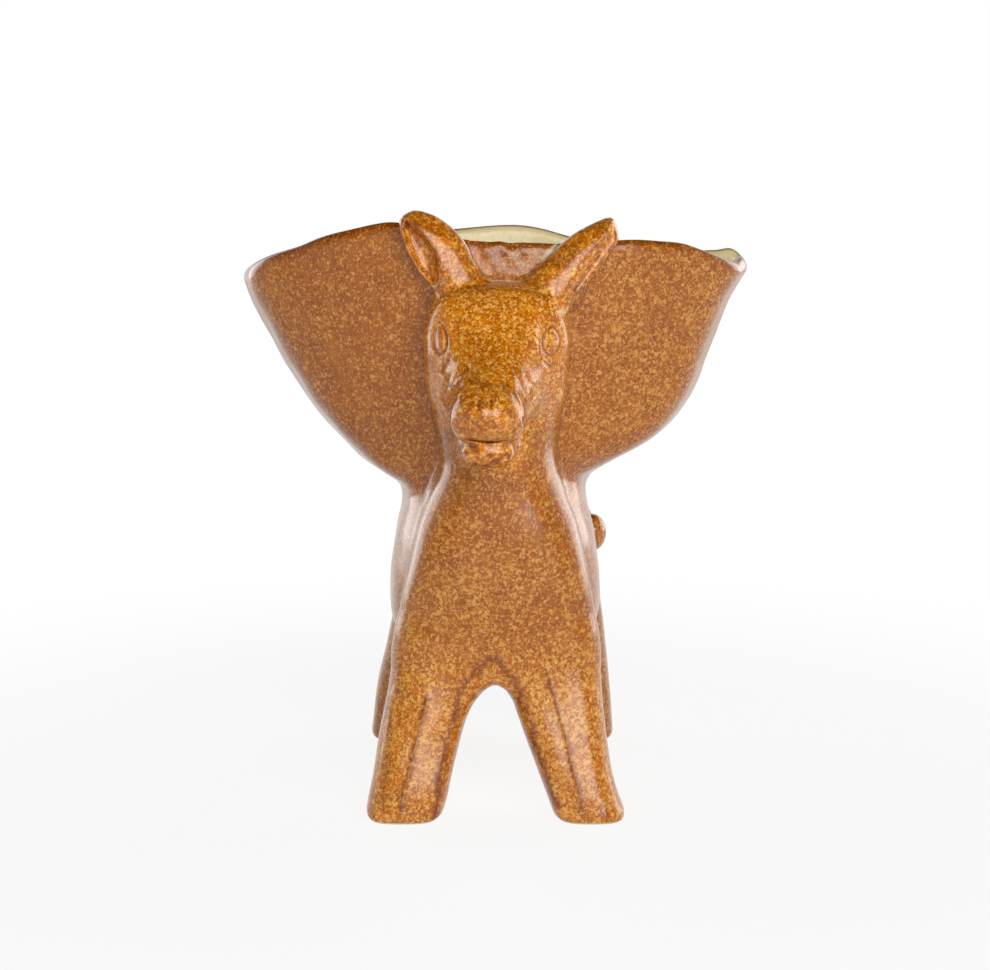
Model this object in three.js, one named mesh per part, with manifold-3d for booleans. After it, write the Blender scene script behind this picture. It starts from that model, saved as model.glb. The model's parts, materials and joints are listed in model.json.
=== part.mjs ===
// A glazed stoneware bowl carried athwart the back of a standing donkey.
// Millimetres, +Z up. The donkey faces -Y and its four soles stand on Z = 0.
// Each piece of clay is a solid of its own, luted to its neighbours with a film of slip.

import * as THREE from 'three';
import { mergeVertices } from 'three/addons/utils/BufferGeometryUtils.js';
import Module from 'manifold-3d';

const wasm = await Module();
wasm.setup();

// Thickness of the slip in every luted joint
const SLIP = 0.3;

// Barrel of the body, a hollow shell with a vent under the belly, set back behind the chest
const BODY_LENGTH = 124;
const BODY_WIDTH = 74;
const BODY_HEIGHT = 70;
const BODY_WALL = 6;
const CHEST_THICKNESS = 10;
const BACK_NARROWING = 9;
const VENT_DIAMETER = 9;

// Legs, from the soles to the belly and on into their sockets in the body
const LEG_HEIGHT = 46;
const LEG_SOCKET = 22;
const FOOT_WIDTH = 25;
const FOOT_LENGTH = 26;
const FOOT_ROUND = 2.5;
const THIGH_LENGTH = 29;
const FRONT_STANCE = 61;
const REAR_STANCE = 67;
const SHOULDER_WIDTH = 73;
const HIP_WIDTH = 80;
const FRONT_FOOT_INSET = 10;
const REAR_FOOT_INSET = 9;
const LEG_LEAN = 5;
const HAUNCH_ROUND = 2;
const FRONT_ARCH_TOP = 6;
const REAR_ARCH_TOP = 14;

// Bowl, a boat-shaped vessel with pinched ends, sunk into the back
const BOWL_WIDTH = 175;
const BOWL_DEPTH = 80;
const BOWL_HEIGHT = 88;
const BOWL_FOOT_WIDTH = 62;
const BOWL_FOOT_DEPTH = 54;
const BOWL_END_RADIUS = 18;
const BOWL_WALL = 5;
const BOWL_FLOOR = 6;
const BOWL_SINK = 9;
const BOWL_FORWARD = 5;
const RIM_END_DROP = 9;
const RIM_CREST_RISE = 6;
const RIM_CREST_PLACE = 36;
const RIM_CREST_SPREAD = 22;

// Neck, from its root on the front legs up over the chest to its top inside the head
const NECK_ROOT_DROP = 62;
const NECK_ROOT_WIDTH = 70;
const NECK_ROOT_DEPTH = 31;
const NECK_INSET = 1;
const CHEST_DROP = 24;
const CHEST_WIDTH = 58;
const CHEST_DEPTH = 31;
const NECK_DEPTH = 27;
const THROAT_RISE = 5;
const THROAT_WIDTH = 39.5;
const NECK_TOP_RISE = 24;
const NECK_TOP_WIDTH = 43;
const NECK_TOP_DEPTH = 22;
const NECK_TOP_ROUND = 12;
const AIRWAY_WIDTH = 16;
const AIRWAY_DEPTH = 8;

// Head, measured from its middle between the cheeks
const HEAD_RISE = 44;
const HEAD_INSET = 8;
const HEAD_WIDTH = 46.6;
const HEAD_DEPTH = 32;
const POLL_RISE = 17;
const POLL_BACK = 8.5;
const POLL_WIDTH = 41;
const POLL_DEPTH = 25;
const POLL_ROUND = 4;
const BRIDGE_REACH = 11.5;
const BRIDGE_DROP = 12;
const BRIDGE_WIDTH = 36;
const BRIDGE_DEPTH = 29;
const MUZZLE_REACH = 29;
const MUZZLE_DROP = 19;
const MUZZLE_WIDTH = 23;
const MUZZLE_DEPTH = 17;
const NOSE_ROUND = 9;
const NOSE_ASIDE = 2.5;

// Lower jaw, hung under the muzzle
const JAW_LENGTH = 20;
const JAW_HINGE_WIDTH = 21;
const JAW_HINGE_DEPTH = 13;
const CHIN_WIDTH = 18;
const CHIN_DEPTH = 9;
const CHIN_ROUND = 5;
const CHIN_SETBACK = 6;
const MOUTH_GAPE = 0.5;

// Ears, hollowed leaves set on the poll
const LEFT_EAR_LENGTH = 33;
const RIGHT_EAR_LENGTH = 39;
const EAR_WIDTH = 21;
const EAR_THICKNESS = 14;
const EAR_WALL = 4;
const EAR_SPACING = 25;
const EAR_FORWARD = 5.5;
const EAR_SINK = 2.7;
const EAR_TIP_ROUND = 4;

// Eyes, almond pellets pressed onto the sides of the brow
const EYE_LENGTH = 8;
const EYE_WIDTH = 5.5;
const EYE_PROUD = 1.4;

// Tail, a coil of clay laid round the right haunch and ending in a tuft
const TAIL_DIAMETER = 8;
const TUFT_DIAMETER = 11;
const TUFT_ROUND = 5;

// Heights and places that follow from the sizes above
const BACK_Z = LEG_HEIGHT + BODY_HEIGHT;
const CHEST_Y = -BODY_LENGTH / 2;
const RUMP_Y = BODY_LENGTH / 2;
const BARREL_REACH = (BODY_LENGTH - CHEST_THICKNESS) / 2;
const BODY_MIDDLE = new THREE.Vector3(0, CHEST_THICKNESS / 2, LEG_HEIGHT + BODY_HEIGHT / 2);
const BOWL_FOOT_Z = BACK_Z - BOWL_SINK;
const HEAD_MIDDLE = new THREE.Vector3(0, CHEST_Y + HEAD_INSET, BACK_Z + HEAD_RISE);

const RIGHT = new THREE.Vector3(1, 0, 0);
const BACKWARD = new THREE.Vector3(0, 1, 0);
const UP = new THREE.Vector3(0, 0, 1);
const QUARTER_TURN = Math.PI / 2;
const mix = THREE.MathUtils.lerp;
const radians = THREE.MathUtils.degToRad;

// A superellipse: a power of 2 is an ellipse, a higher power is boxier.
function roundAt(angle, power) {
  const bend = (value) => Math.sign(value) * Math.abs(value) ** (2 / power);
  return [bend(Math.cos(angle)), bend(Math.sin(angle))];
}

function ring(centre, across, along, half, power, sides) {
  return Array.from({ length: sides }, (_, k) => {
    const [c, s] = roundAt((2 * Math.PI * k) / sides, power);
    return centre.clone().addScaledVector(across, half.x * c).addScaledVector(along, half.y * s);
  });
}

// A closed skin over a stack of rings, each end closed by a fan to its middle.
function skin(rings) {
  const sides = rings[0].length;
  const last = rings.length - 1;
  const middleOf = (loop) => loop.reduce((sum, p) => sum.add(p), new THREE.Vector3()).divideScalar(sides);
  const points = [...rings.flat(), middleOf(rings[0]), middleOf(rings[last])];
  const faces = [];
  for (let k = 0; k < sides; k += 1) {
    const next = (k + 1) % sides;
    for (let i = 0; i < last; i += 1) {
      const low = i * sides;
      const high = low + sides;
      faces.push(low + k, low + next, high + next, low + k, high + next, high + k);
    }
    faces.push(points.length - 2, next, k, points.length - 1, last * sides + k, last * sides + next);
  }
  const geometry = new THREE.BufferGeometry().setFromPoints(points);
  geometry.setIndex(faces);
  return geometry;
}

// A line of stations, each with a place and two half sizes. The first half size is measured across.
class Spine {
  constructor(across, stations) {
    this.across = across;
    this.places = new THREE.CatmullRomCurve3(stations.map(([place]) => place));
    this.sizes = new THREE.SplineCurve(stations.map(([, halfA, halfB]) => new THREE.Vector2(halfA, halfB)));
  }

  frame(u, grow) {
    const forward = this.places.getTangent(u);
    const along = forward.clone().cross(this.across).normalize();
    const across = along.clone().cross(forward);
    const half = this.sizes.getPoint(u).addScalar(grow);
    return { centre: this.places.getPoint(u), half, forward, across, along };
  }
}

const DOME_SLOPES = [0.4, 0.8, 1.2];

// A skin along a spine, with a dome of the given height over each end.
function loft(spine, { sides, steps, power = 2, startDome = 0, endDome = 0 }, grow = 0) {
  const rings = [];
  const addRing = (u, push, shrink) => {
    const { centre, half, forward, across, along } = spine.frame(u, grow);
    centre.addScaledVector(forward, push);
    rings.push(ring(centre, across, along, half.multiplyScalar(shrink), power, sides));
  };
  const addEnd = (u, push, slopes) => {
    slopes.forEach((slope) => addRing(u, push * Math.sin(slope), Math.cos(slope)));
  };
  if (startDome > 0) addEnd(0, -startDome - grow, DOME_SLOPES.toReversed());
  for (let i = 0; i <= steps; i += 1) addRing(i / steps, 0, 1);
  if (endDome > 0) addEnd(1, endDome + grow, DOME_SLOPES);
  return skin(rings);
}

// A closed solid, for cutting one piece to its neighbours
function solidOf(geometry) {
  const vertProperties = new Float32Array(geometry.getAttribute('position').array);
  const triVerts = new Uint32Array(geometry.getIndex().array);
  return new wasm.Manifold(new wasm.Mesh({ numProp: 3, vertProperties, triVerts }));
}

function cut(geometry, ...tools) {
  const solid = tools.reduce((left, tool) => left.subtract(solidOf(tool)), solidOf(geometry));
  const mesh = solid.getMesh();
  const result = new THREE.BufferGeometry();
  result.setAttribute('position', new THREE.BufferAttribute(mesh.vertProperties, 3));
  result.setIndex(new THREE.BufferAttribute(mesh.triVerts, 1));
  return result;
}

// A stock shape with only its positions, its shared corners merged
function plain(geometry) {
  geometry.deleteAttribute('normal');
  geometry.deleteAttribute('uv');
  return mergeVertices(geometry);
}

// Barrel: a boxy egg that rounds off towards both ends and narrows from the belly to the back
const BODY_END_POWER = 3;
const BODY_SECTION_POWER = 3;
const BODY_END_REACH = 0.998;

function bodySection(s, grow) {
  const shrink = (1 - Math.abs(s) ** BODY_END_POWER) ** (1 / BODY_END_POWER);
  return new THREE.Vector2((BODY_HEIGHT / 2 + grow) * shrink, (BODY_WIDTH / 2 + grow) * shrink);
}

function narrowed(point) {
  const rise = (point.z - BODY_MIDDLE.z) / BODY_HEIGHT;
  return point.setX(point.x * (1 - (BACK_NARROWING * rise) / BODY_WIDTH * 2));
}

function bodyForm(grow = 0) {
  const steps = 14;
  const rings = [];
  for (let i = 0; i <= steps; i += 1) {
    const s = BODY_END_REACH * Math.sin(Math.PI * (i / steps - 0.5));
    const centre = BODY_MIDDLE.clone().addScaledVector(BACKWARD, s * (BARREL_REACH + grow));
    rings.push(ring(centre, UP, RIGHT, bodySection(s, grow), BODY_SECTION_POWER, 28).map(narrowed));
  }
  return skin(rings);
}

// Point on the barrel: s runs along it from -1 to 1, the angle rises from the right flank.
function bodyPoint(s, angle, grow) {
  const half = bodySection(s, grow);
  const [c, h] = roundAt(radians(angle), BODY_SECTION_POWER);
  const place = new THREE.Vector3(half.y * c, s * (BARREL_REACH + grow), half.x * h);
  return narrowed(place.add(BODY_MIDDLE));
}

// Bowl outline at one height: two long arcs and two small end arcs, tangent to each other.
function boatOutline(halfWidth, halfDepth, grow) {
  const run = halfWidth - BOWL_END_RADIUS;
  const radius = (run ** 2 + halfDepth ** 2 - BOWL_END_RADIUS ** 2) / (2 * (halfDepth - BOWL_END_RADIUS));
  const turn = Math.atan2(run, radius - halfDepth);
  const outline = [];
  const arc = (x, y, r, middle, spread, pieces) => {
    for (let k = 0; k < pieces; k += 1) {
      const angle = middle + spread * ((2 * k) / pieces - 1);
      outline.push(new THREE.Vector2(x + (r + grow) * Math.cos(angle), y + (r + grow) * Math.sin(angle)));
    }
  };
  arc(run, 0, BOWL_END_RADIUS, 0, QUARTER_TURN - turn, 5);
  arc(0, halfDepth - radius, radius, QUARTER_TURN, turn, 12);
  arc(-run, 0, BOWL_END_RADIUS, 2 * QUARTER_TURN, QUARTER_TURN - turn, 5);
  arc(0, radius - halfDepth, radius, 3 * QUARTER_TURN, turn, 12);
  return outline;
}

// The wall flares fast from the foot and then ever less, as the root of the height.
function bowlOutline(rise, grow) {
  const flare = Math.sqrt(rise);
  const halfWidth = mix(BOWL_FOOT_WIDTH, BOWL_WIDTH, flare) / 2;
  const halfDepth = mix(BOWL_FOOT_DEPTH, BOWL_DEPTH, flare) / 2;
  return boatOutline(halfWidth, halfDepth, grow);
}

// The rim drops towards both ends and crests once on the near side, left of the head.
function rimHeight(point) {
  const endDrop = RIM_END_DROP * Math.abs((2 * point.x) / BOWL_WIDTH) ** 5;
  const crest = Math.exp(-(((point.x + RIM_CREST_PLACE) / RIM_CREST_SPREAD) ** 2));
  const near = Math.max(0, (-2 * point.y) / BOWL_DEPTH);
  return BOWL_FOOT_Z + BOWL_HEIGHT - endDrop + RIM_CREST_RISE * crest * near;
}

const RIM_HEIGHTS = bowlOutline(1, 0).map(rimHeight);
const BOWL_RISES = [0, 0.03, 0.09, 0.18, 0.3, 0.46, 0.64, 0.84];

function bowlRing(rise, grow, bottom, lift = 0) {
  return bowlOutline(rise, grow).map((point, k) => {
    const z = mix(bottom, RIM_HEIGHTS[k], rise) + lift;
    return new THREE.Vector3(point.x, point.y - BOWL_FORWARD, z);
  });
}

// The bowl as a filled solid, for cutting the pieces that lie against it
function bowlForm(grow) {
  const rings = [...BOWL_RISES, 1].map((rise) => bowlRing(rise, grow, BOWL_FOOT_Z - grow));
  return skin([...rings, bowlRing(1, grow, BOWL_FOOT_Z, BOWL_WALL)]);
}

// The open vessel: up the outside, over the rounded lip and down the inside to the floor
function bowlVessel() {
  const lip = BOWL_WALL / 2;
  const outside = BOWL_RISES.map((rise) => bowlRing(rise, 0, BOWL_FOOT_Z));
  const over = [0, 0.25, 0.5, 0.75, 1].map((share) => {
    const angle = share * Math.PI;
    return bowlRing(1, lip * (Math.cos(angle) - 1), BOWL_FOOT_Z, lip * (Math.sin(angle) - 1));
  });
  const floor = BOWL_FOOT_Z + BOWL_FLOOR;
  const inside = BOWL_RISES.toReversed().map((rise) => bowlRing(rise, -BOWL_WALL, floor));
  return skin([...outside, ...over, ...inside]);
}

// Hollow of the barrel, kept one wall away from its skin and from the bowl's seat
function bodyHollow() {
  return cut(bodyForm(-BODY_WALL), bowlForm(BODY_WALL));
}

function bellyVent() {
  const length = 2 * BODY_WALL + LEG_HEIGHT;
  const vent = plain(new THREE.CylinderGeometry(VENT_DIAMETER / 2, VENT_DIAMETER / 2, length, 20));
  return vent.rotateX(QUARTER_TURN).translate(0, 0, LEG_HEIGHT);
}

// Neck: broad over the chest, where it stands on the front legs, and narrowest at the throat
function neckSpine() {
  const front = CHEST_Y + NECK_INSET;
  const root = new THREE.Vector3(0, front + NECK_ROOT_DEPTH / 2, BACK_Z - NECK_ROOT_DROP);
  const chest = new THREE.Vector3(0, front + CHEST_DEPTH / 2, BACK_Z - CHEST_DROP);
  const throat = new THREE.Vector3(0, front + NECK_DEPTH / 2, BACK_Z + THROAT_RISE);
  const top = new THREE.Vector3(0, front + NECK_DEPTH / 2, BACK_Z + NECK_TOP_RISE);
  return new Spine(RIGHT, [
    [root, NECK_ROOT_WIDTH / 2, NECK_ROOT_DEPTH / 2],
    [chest, CHEST_WIDTH / 2, CHEST_DEPTH / 2],
    [throat, THROAT_WIDTH / 2, NECK_DEPTH / 2],
    [top, NECK_TOP_WIDTH / 2, NECK_TOP_DEPTH / 2],
  ]);
}

function neckForm(grow = 0) {
  return loft(neckSpine(), { sides: 28, steps: 9, power: 3, endDome: NECK_TOP_ROUND }, grow);
}

// Air passage from the hollow barrel up into the neck, so that the clay dries and fires evenly
function neckAirway() {
  const spine = neckSpine();
  const low = spine.places.getPoint(1 / 3).addScaledVector(BACKWARD, BODY_WALL);
  const high = spine.places.getPoint(2 / 3);
  const half = [AIRWAY_WIDTH / 2, AIRWAY_DEPTH / 2];
  const passage = new Spine(RIGHT, [[low, ...half], [high, ...half]]);
  return loft(passage, { sides: 12, steps: 2, endDome: AIRWAY_DEPTH / 2 });
}

// Head: from the poll down the brow and out along the muzzle, the nose a little to the left
function headSpine() {
  const place = (x, forward, rise) => HEAD_MIDDLE.clone().add(new THREE.Vector3(x, -forward, rise));
  return new Spine(RIGHT, [
    [place(0, -POLL_BACK, POLL_RISE), POLL_WIDTH / 2, POLL_DEPTH / 2],
    [place(0, 0, 0), HEAD_WIDTH / 2, HEAD_DEPTH / 2],
    [place(-NOSE_ASIDE / 2, BRIDGE_REACH, -BRIDGE_DROP), BRIDGE_WIDTH / 2, BRIDGE_DEPTH / 2],
    [place(-NOSE_ASIDE, MUZZLE_REACH, -MUZZLE_DROP), MUZZLE_WIDTH / 2, MUZZLE_DEPTH / 2],
  ]);
}

const HEAD_SHAPE = { sides: 24, steps: 11, power: 2.3, startDome: POLL_ROUND, endDome: NOSE_ROUND };

function headForm(grow = 0) {
  return loft(headSpine(), HEAD_SHAPE, grow);
}

// Lower jaw: deep at its hinge, level below, its chin lying just under the muzzle
function jawForm() {
  const muzzle = headSpine().places.getPoint(1);
  const mouthZ = muzzle.z - MUZZLE_DEPTH / 2 - MOUTH_GAPE;
  const chinY = muzzle.y - NOSE_ROUND + CHIN_SETBACK + CHIN_ROUND;
  const chin = new THREE.Vector3(muzzle.x, chinY, mouthZ - CHIN_DEPTH / 2);
  const hingeZ = mouthZ - CHIN_DEPTH + JAW_HINGE_DEPTH / 2;
  const hinge = new THREE.Vector3(muzzle.x / 2, chinY + JAW_LENGTH, hingeZ);
  const spine = new Spine(RIGHT, [
    [hinge, JAW_HINGE_WIDTH / 2, JAW_HINGE_DEPTH / 2],
    [chin, CHIN_WIDTH / 2, CHIN_DEPTH / 2],
  ]);
  return loft(spine, { sides: 18, steps: 4, endDome: CHIN_ROUND });
}

// Ears: each leans outward and turns its hollow to its own side
const LEFT_OPEN = new THREE.Vector3(-0.75, -0.65, 0);
const RIGHT_OPEN = new THREE.Vector3(0.8, -0.5, -0.33);
const LEFT_EAR = { side: -1, lean: 31, length: LEFT_EAR_LENGTH, open: LEFT_OPEN };
const RIGHT_EAR = { side: 1, lean: 43, length: RIGHT_EAR_LENGTH, open: RIGHT_OPEN };
const EAR_TILT_BACK = 4;
const SCOOP_START = 0.42;

function earForm({ side, lean, length, open }) {
  const [outward, backward] = [side * Math.sin(radians(lean)), Math.sin(radians(EAR_TILT_BACK))];
  const axis = new THREE.Vector3(outward, backward, Math.cos(radians(lean))).normalize();
  const seat = new THREE.Vector3((side * EAR_SPACING) / 2, -EAR_FORWARD, 0);
  const base = seat.add(headSpine().places.getPoint(0)).addScaledVector(axis, -EAR_SINK);
  const across = open.clone().cross(axis).normalize();
  const facing = axis.clone().cross(across);
  const leaf = (start, width, shift) => {
    const middle = base.clone().addScaledVector(facing, shift);
    const at = (share) => middle.clone().addScaledVector(axis, share * length);
    const half = EAR_THICKNESS / 2;
    return new Spine(across, [
      [at(start), 0.35 * width, half],
      [at(0.5), 0.5 * width, half],
      [at(1 - EAR_TIP_ROUND / length), 0.27 * width, 0.6 * half],
    ]);
  };
  const shape = { sides: 16, steps: 7, endDome: EAR_TIP_ROUND };
  const outer = loft(leaf(0, EAR_WIDTH, 0), shape);
  const hollow = leaf(SCOOP_START, EAR_WIDTH - 2 * EAR_WALL, EAR_WALL);
  const scoop = loft(hollow, { ...shape, startDome: EAR_WALL });
  return cut(outer, scoop);
}

// Eyes: half-sunk almonds, their length along the head
const EYE_PLACE = 0.36;
const EYE_ANGLE = 37;

function eyeForm(side) {
  const { centre, half, forward, across, along } = headSpine().frame(EYE_PLACE, 0);
  const angle = radians(EYE_ANGLE);
  const [c, s] = roundAt(angle, HEAD_SHAPE.power);
  centre.addScaledVector(across, side * half.x * c).addScaledVector(along, half.y * s);
  const outward = across.clone().multiplyScalar((side * c) / half.x).addScaledVector(along, s / half.y);
  const sideways = forward.clone().cross(outward.normalize());
  const pellet = plain(new THREE.SphereGeometry(1, 14, 8));
  pellet.scale(EYE_WIDTH / 2, EYE_LENGTH / 2, EYE_PROUD + SLIP);
  const turn = new THREE.Matrix4().makeBasis(sideways, forward, outward).setPosition(centre);
  return pellet.applyMatrix4(turn);
}

// Legs: tapered columns, with an arch between each pair. The front pair ends under the neck's root.
const ARCH_POWER = 10;
const LEG_POWER = 2.6;

function legForm(side, { stance, topWidth, archTop, footY, lean, socket, topRound }) {
  const rings = [];
  const addRing = (z, inset) => {
    const share = z / LEG_HEIGHT;
    const arch = (1 - Math.min(1, share) ** ARCH_POWER) ** (1 / ARCH_POWER);
    const inner = mix((stance - FOOT_WIDTH) / 2, archTop / 2, Math.min(1, share)) * arch + SLIP / 2;
    const outer = mix((stance + FOOT_WIDTH) / 2, topWidth / 2, share);
    const halfLength = mix(FOOT_LENGTH, THIGH_LENGTH, Math.min(1, share)) / 2;
    const half = new THREE.Vector2((outer - inner) / 2 - inset, halfLength - inset);
    const centre = new THREE.Vector3((side * (outer + inner)) / 2, footY + lean * share, z);
    rings.push(ring(centre, RIGHT, BACKWARD, half, LEG_POWER, 20));
  };
  for (const angle of [QUARTER_TURN, 1, 0.5]) {
    addRing(FOOT_ROUND * (1 - Math.sin(angle)), FOOT_ROUND * (1 - Math.cos(angle)));
  }
  for (const share of [0.08, 0.4, 0.7, 0.87, 0.95, 1]) addRing(share * LEG_HEIGHT, 0);
  addRing(LEG_HEIGHT + socket, topRound);
  return skin(rings);
}

// Tail and tuft follow the rump from its top round to the right flank.
const TAIL_ROUTE = [[0.99, 75], [0.975, 40], [0.93, 15], [0.82, 6], [0.68, 4], [0.56, 4]];
const TUFT_ROUTE = [[0.545, 2], [0.525, 0], [0.505, -2]];

function laidOnBody(route, across, diameter, shape, grow) {
  const lift = diameter / 4;
  const half = diameter / 2;
  const spine = new Spine(across, route.map(([s, angle]) => [bodyPoint(s, angle, lift), half, half]));
  return loft(spine, shape, grow);
}

function tailForm() {
  return laidOnBody(TAIL_ROUTE, UP, TAIL_DIAMETER, { sides: 10, steps: 14, startDome: TAIL_DIAMETER / 2 }, 0);
}

function tuftForm(grow = 0) {
  const shape = { sides: 12, steps: 3, startDome: TUFT_ROUND, endDome: TUFT_ROUND };
  return laidOnBody(TUFT_ROUTE, RIGHT, TUFT_DIAMETER, shape, grow);
}

// Pieces and their glazes
const RUST = 0xa8652f;
const HONEY = 0xb87420;
const AMBER = 0x9a5a1c;

const donkey = new THREE.Group();

function piece(name, geometry, colour) {
  const glaze = new THREE.MeshStandardMaterial({ color: colour, roughness: 0.22, metalness: 0 });
  const mesh = new THREE.Mesh(geometry, glaze);
  mesh.name = name;
  donkey.add(mesh);
}

const bodySeat = bodyForm(SLIP);
const bowlSeat = bowlForm(SLIP);
const neckSeat = neckForm(SLIP);
const headSeat = headForm(SLIP);
const airway = neckAirway();

piece('bowl', bowlVessel(), RUST);
piece('body', cut(bodyForm(), bowlSeat, bodyHollow(), bellyVent(), airway), RUST);
piece('neck', cut(neckForm(), bodySeat, bowlSeat, headSeat, airway), RUST);
piece('head', cut(headForm(), bowlSeat), HONEY);
piece('lower_jaw', cut(jawForm(), headSeat, neckSeat), HONEY);
piece('left_ear', cut(earForm(LEFT_EAR), headSeat, bowlSeat), HONEY);
piece('right_ear', cut(earForm(RIGHT_EAR), headSeat, bowlSeat), HONEY);
piece('left_eye', cut(eyeForm(-1), headSeat), AMBER);
piece('right_eye', cut(eyeForm(1), headSeat), AMBER);

const FRONT_LEGS = {
  stance: FRONT_STANCE,
  topWidth: SHOULDER_WIDTH,
  archTop: FRONT_ARCH_TOP,
  footY: CHEST_Y + FRONT_FOOT_INSET,
  lean: LEG_LEAN,
  socket: BODY_HEIGHT - NECK_ROOT_DROP - SLIP,
  topRound: 0,
};
const REAR_LEGS = {
  stance: REAR_STANCE,
  topWidth: HIP_WIDTH,
  archTop: REAR_ARCH_TOP,
  footY: RUMP_Y - REAR_FOOT_INSET,
  lean: -LEG_LEAN,
  socket: LEG_SOCKET,
  topRound: HAUNCH_ROUND,
};
for (const [pair, legs] of [['front', FRONT_LEGS], ['rear', REAR_LEGS]]) {
  for (const [hand, side] of [['left', -1], ['right', 1]]) {
    piece(`${pair}_${hand}_leg`, cut(legForm(side, legs), bodySeat, neckSeat), RUST);
  }
}

piece('tail', cut(tailForm(), bodySeat, tuftForm(SLIP)), AMBER);
piece('tail_tuft', cut(tuftForm(), bodySeat), AMBER);

// The frame's origin lies on the ground under the middle of the whole object.
const box = new THREE.Box3().setFromObject(donkey);
const middle = box.getCenter(new THREE.Vector3());
donkey.position.set(-middle.x, -middle.y, -box.min.z);

export default donkey;
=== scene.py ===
# %% [markdown]
# # A donkey that carries a bowl
# The object is a hand-built stoneware figure under a thick speckled glaze: a standing donkey with a
# boat-shaped bowl across its back. This lesson rebuilds it piece by piece around a imported CAD model.
# The CAD gives the frame, in metres, and the names of the pieces. Blender gives the soft clay forms, the
# face and the glaze. First the frame is loaded.

# %% Load the frame
import json
import math

import bpy
import numpy as np
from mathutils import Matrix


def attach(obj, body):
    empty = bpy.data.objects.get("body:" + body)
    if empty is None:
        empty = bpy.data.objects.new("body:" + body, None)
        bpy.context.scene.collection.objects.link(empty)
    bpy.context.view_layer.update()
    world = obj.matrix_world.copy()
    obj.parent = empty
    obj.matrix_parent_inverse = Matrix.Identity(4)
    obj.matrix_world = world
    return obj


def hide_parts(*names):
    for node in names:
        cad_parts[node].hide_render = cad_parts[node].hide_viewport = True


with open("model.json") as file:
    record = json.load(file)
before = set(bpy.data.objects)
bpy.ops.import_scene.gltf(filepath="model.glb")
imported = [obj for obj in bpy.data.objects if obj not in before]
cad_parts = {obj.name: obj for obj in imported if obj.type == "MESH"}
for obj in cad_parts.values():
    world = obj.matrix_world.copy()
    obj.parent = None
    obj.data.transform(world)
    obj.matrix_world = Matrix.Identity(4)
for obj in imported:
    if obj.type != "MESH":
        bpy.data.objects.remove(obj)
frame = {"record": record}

import openvdb
from mathutils import Vector

scene = bpy.context.scene
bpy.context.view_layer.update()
SLOTS = {row["node"]: row["material_slot"] for row in frame["record"]["subparts"]}

# %% [markdown]
# ## Clay as a field of distances
# A potter presses lumps together and smooths the joints with a thumb. Mesh booleans give hard creases, and
# a sculpt can't be written down. A distance field can: it is a number for each point in space, negative
# inside the clay, and two fields are joined by taking the smaller one. Rounding that choice over a short
# reach makes the fillet that a thumb makes. All the clay below is in millimetres.

# %% Join and carve
def join(a, b, reach):
    """Two forms pressed together. The fillet starts where they are this far apart."""
    close = np.maximum(reach - np.abs(a - b), 0) / reach
    return np.minimum(a, b) - close * close * (reach / 4)


def luted(form, *others):
    """A form with others pressed on one by one, each given with its own reach."""
    for other, reach in others:
        form = join(form, other, reach)
    return form


def carve(a, tool, reach):
    """The form with the tool's shape taken out of it, the edge rounded."""
    return -join(-a, tool, reach)


def trim(a, b, reach):
    """What lies in both forms, the edge rounded."""
    return -join(-a, -b, reach)


print("A joint with a reach of 4 mm fills its crease by", -join(0.0, 0.0, 4.0), "mm")

# %% [markdown]
# A form costs time at every point where it is worked out, and an ear needn't be known at the tail. So each
# form is worked out only in a box of its own, and counts as far away elsewhere.

# %% Work a form out only near itself
FAR = 30.0


def near(low, high, away=FAR):
    """Limits a form to a box. It takes an open grid of points or a plain list of them."""
    def limit(form):
        def limited(p):
            keep = [(v >= a) & (v <= b) for v, a, b in zip(p, low, high)]
            out = np.full(np.broadcast_shapes(*[v.shape for v in p]), away, p[0].dtype)
            if p[0].ndim == 3:
                block = [slice(k[0], k[-1] + 1) for k in (np.flatnonzero(k) for k in keep)]
                out[tuple(block)] = form((p[0][block[0]], p[1][:, block[1]], p[2][:, :, block[2]]))
            else:
                hit = keep[0] & keep[1] & keep[2]
                out[hit] = form(tuple(v[hit] for v in p))
            return out
        return limited
    return limit


# %% [markdown]
# The outline of a leg or a neck is a size that changes along its length. A smooth curve through a few
# measured stations gives that size at any height.

# %% Smooth curves, rolls and lumps
def step_up(value, start, end):
    """0 before start, 1 after end, smooth between."""
    t = np.clip((value - start) / (end - start), 0, 1)
    return t * t * (3 - 2 * t)


def smooth_curve(*stations):
    """A smooth curve through (place, size) stations, level beyond both ends."""
    place, size = np.array(stations, float).T
    slope = np.gradient(size, place)

    def at(value):
        value = np.clip(value, place[0], place[-1])
        k = np.clip(np.searchsorted(place, value) - 1, 0, len(place) - 2)
        step = place[k + 1] - place[k]
        t = (value - place[k]) / step
        rise = t * t * (3 - 2 * t)
        bend = t * (1 - t) * step * (slope[k] * (1 - t) - slope[k + 1] * t)
        return size[k] * (1 - rise) + size[k + 1] * rise + bend
    return at


def smooth_curves(places, *rows):
    """One smooth curve for each row of sizes, all at the same places."""
    return [smooth_curve(*zip(places, sizes)) for sizes in rows]


def egg(parts):
    """Distance to an egg, given as an offset and a half size for each of its axes."""
    size = np.sqrt(sum((part / half) ** 2 for part, half in parts))
    slope = np.sqrt(sum((part / half ** 2) ** 2 for part, half in parts))
    return size * (size - 1) / np.maximum(slope, 1e-4)


def offsets(p, middle, lean):
    """Where points are, seen from the middle of a form that leans by some degrees about X."""
    x, y, z = (v - m for v, m in zip(p, middle))
    c, s = math.cos(math.radians(lean)), math.sin(math.radians(lean))
    return x, y * c + z * s, z * c - y * s


def lump(p, middle, radii, lean=0):
    """An egg of clay, leaned by some degrees about X."""
    return egg(list(zip(offsets(p, middle, lean), radii)))


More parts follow.
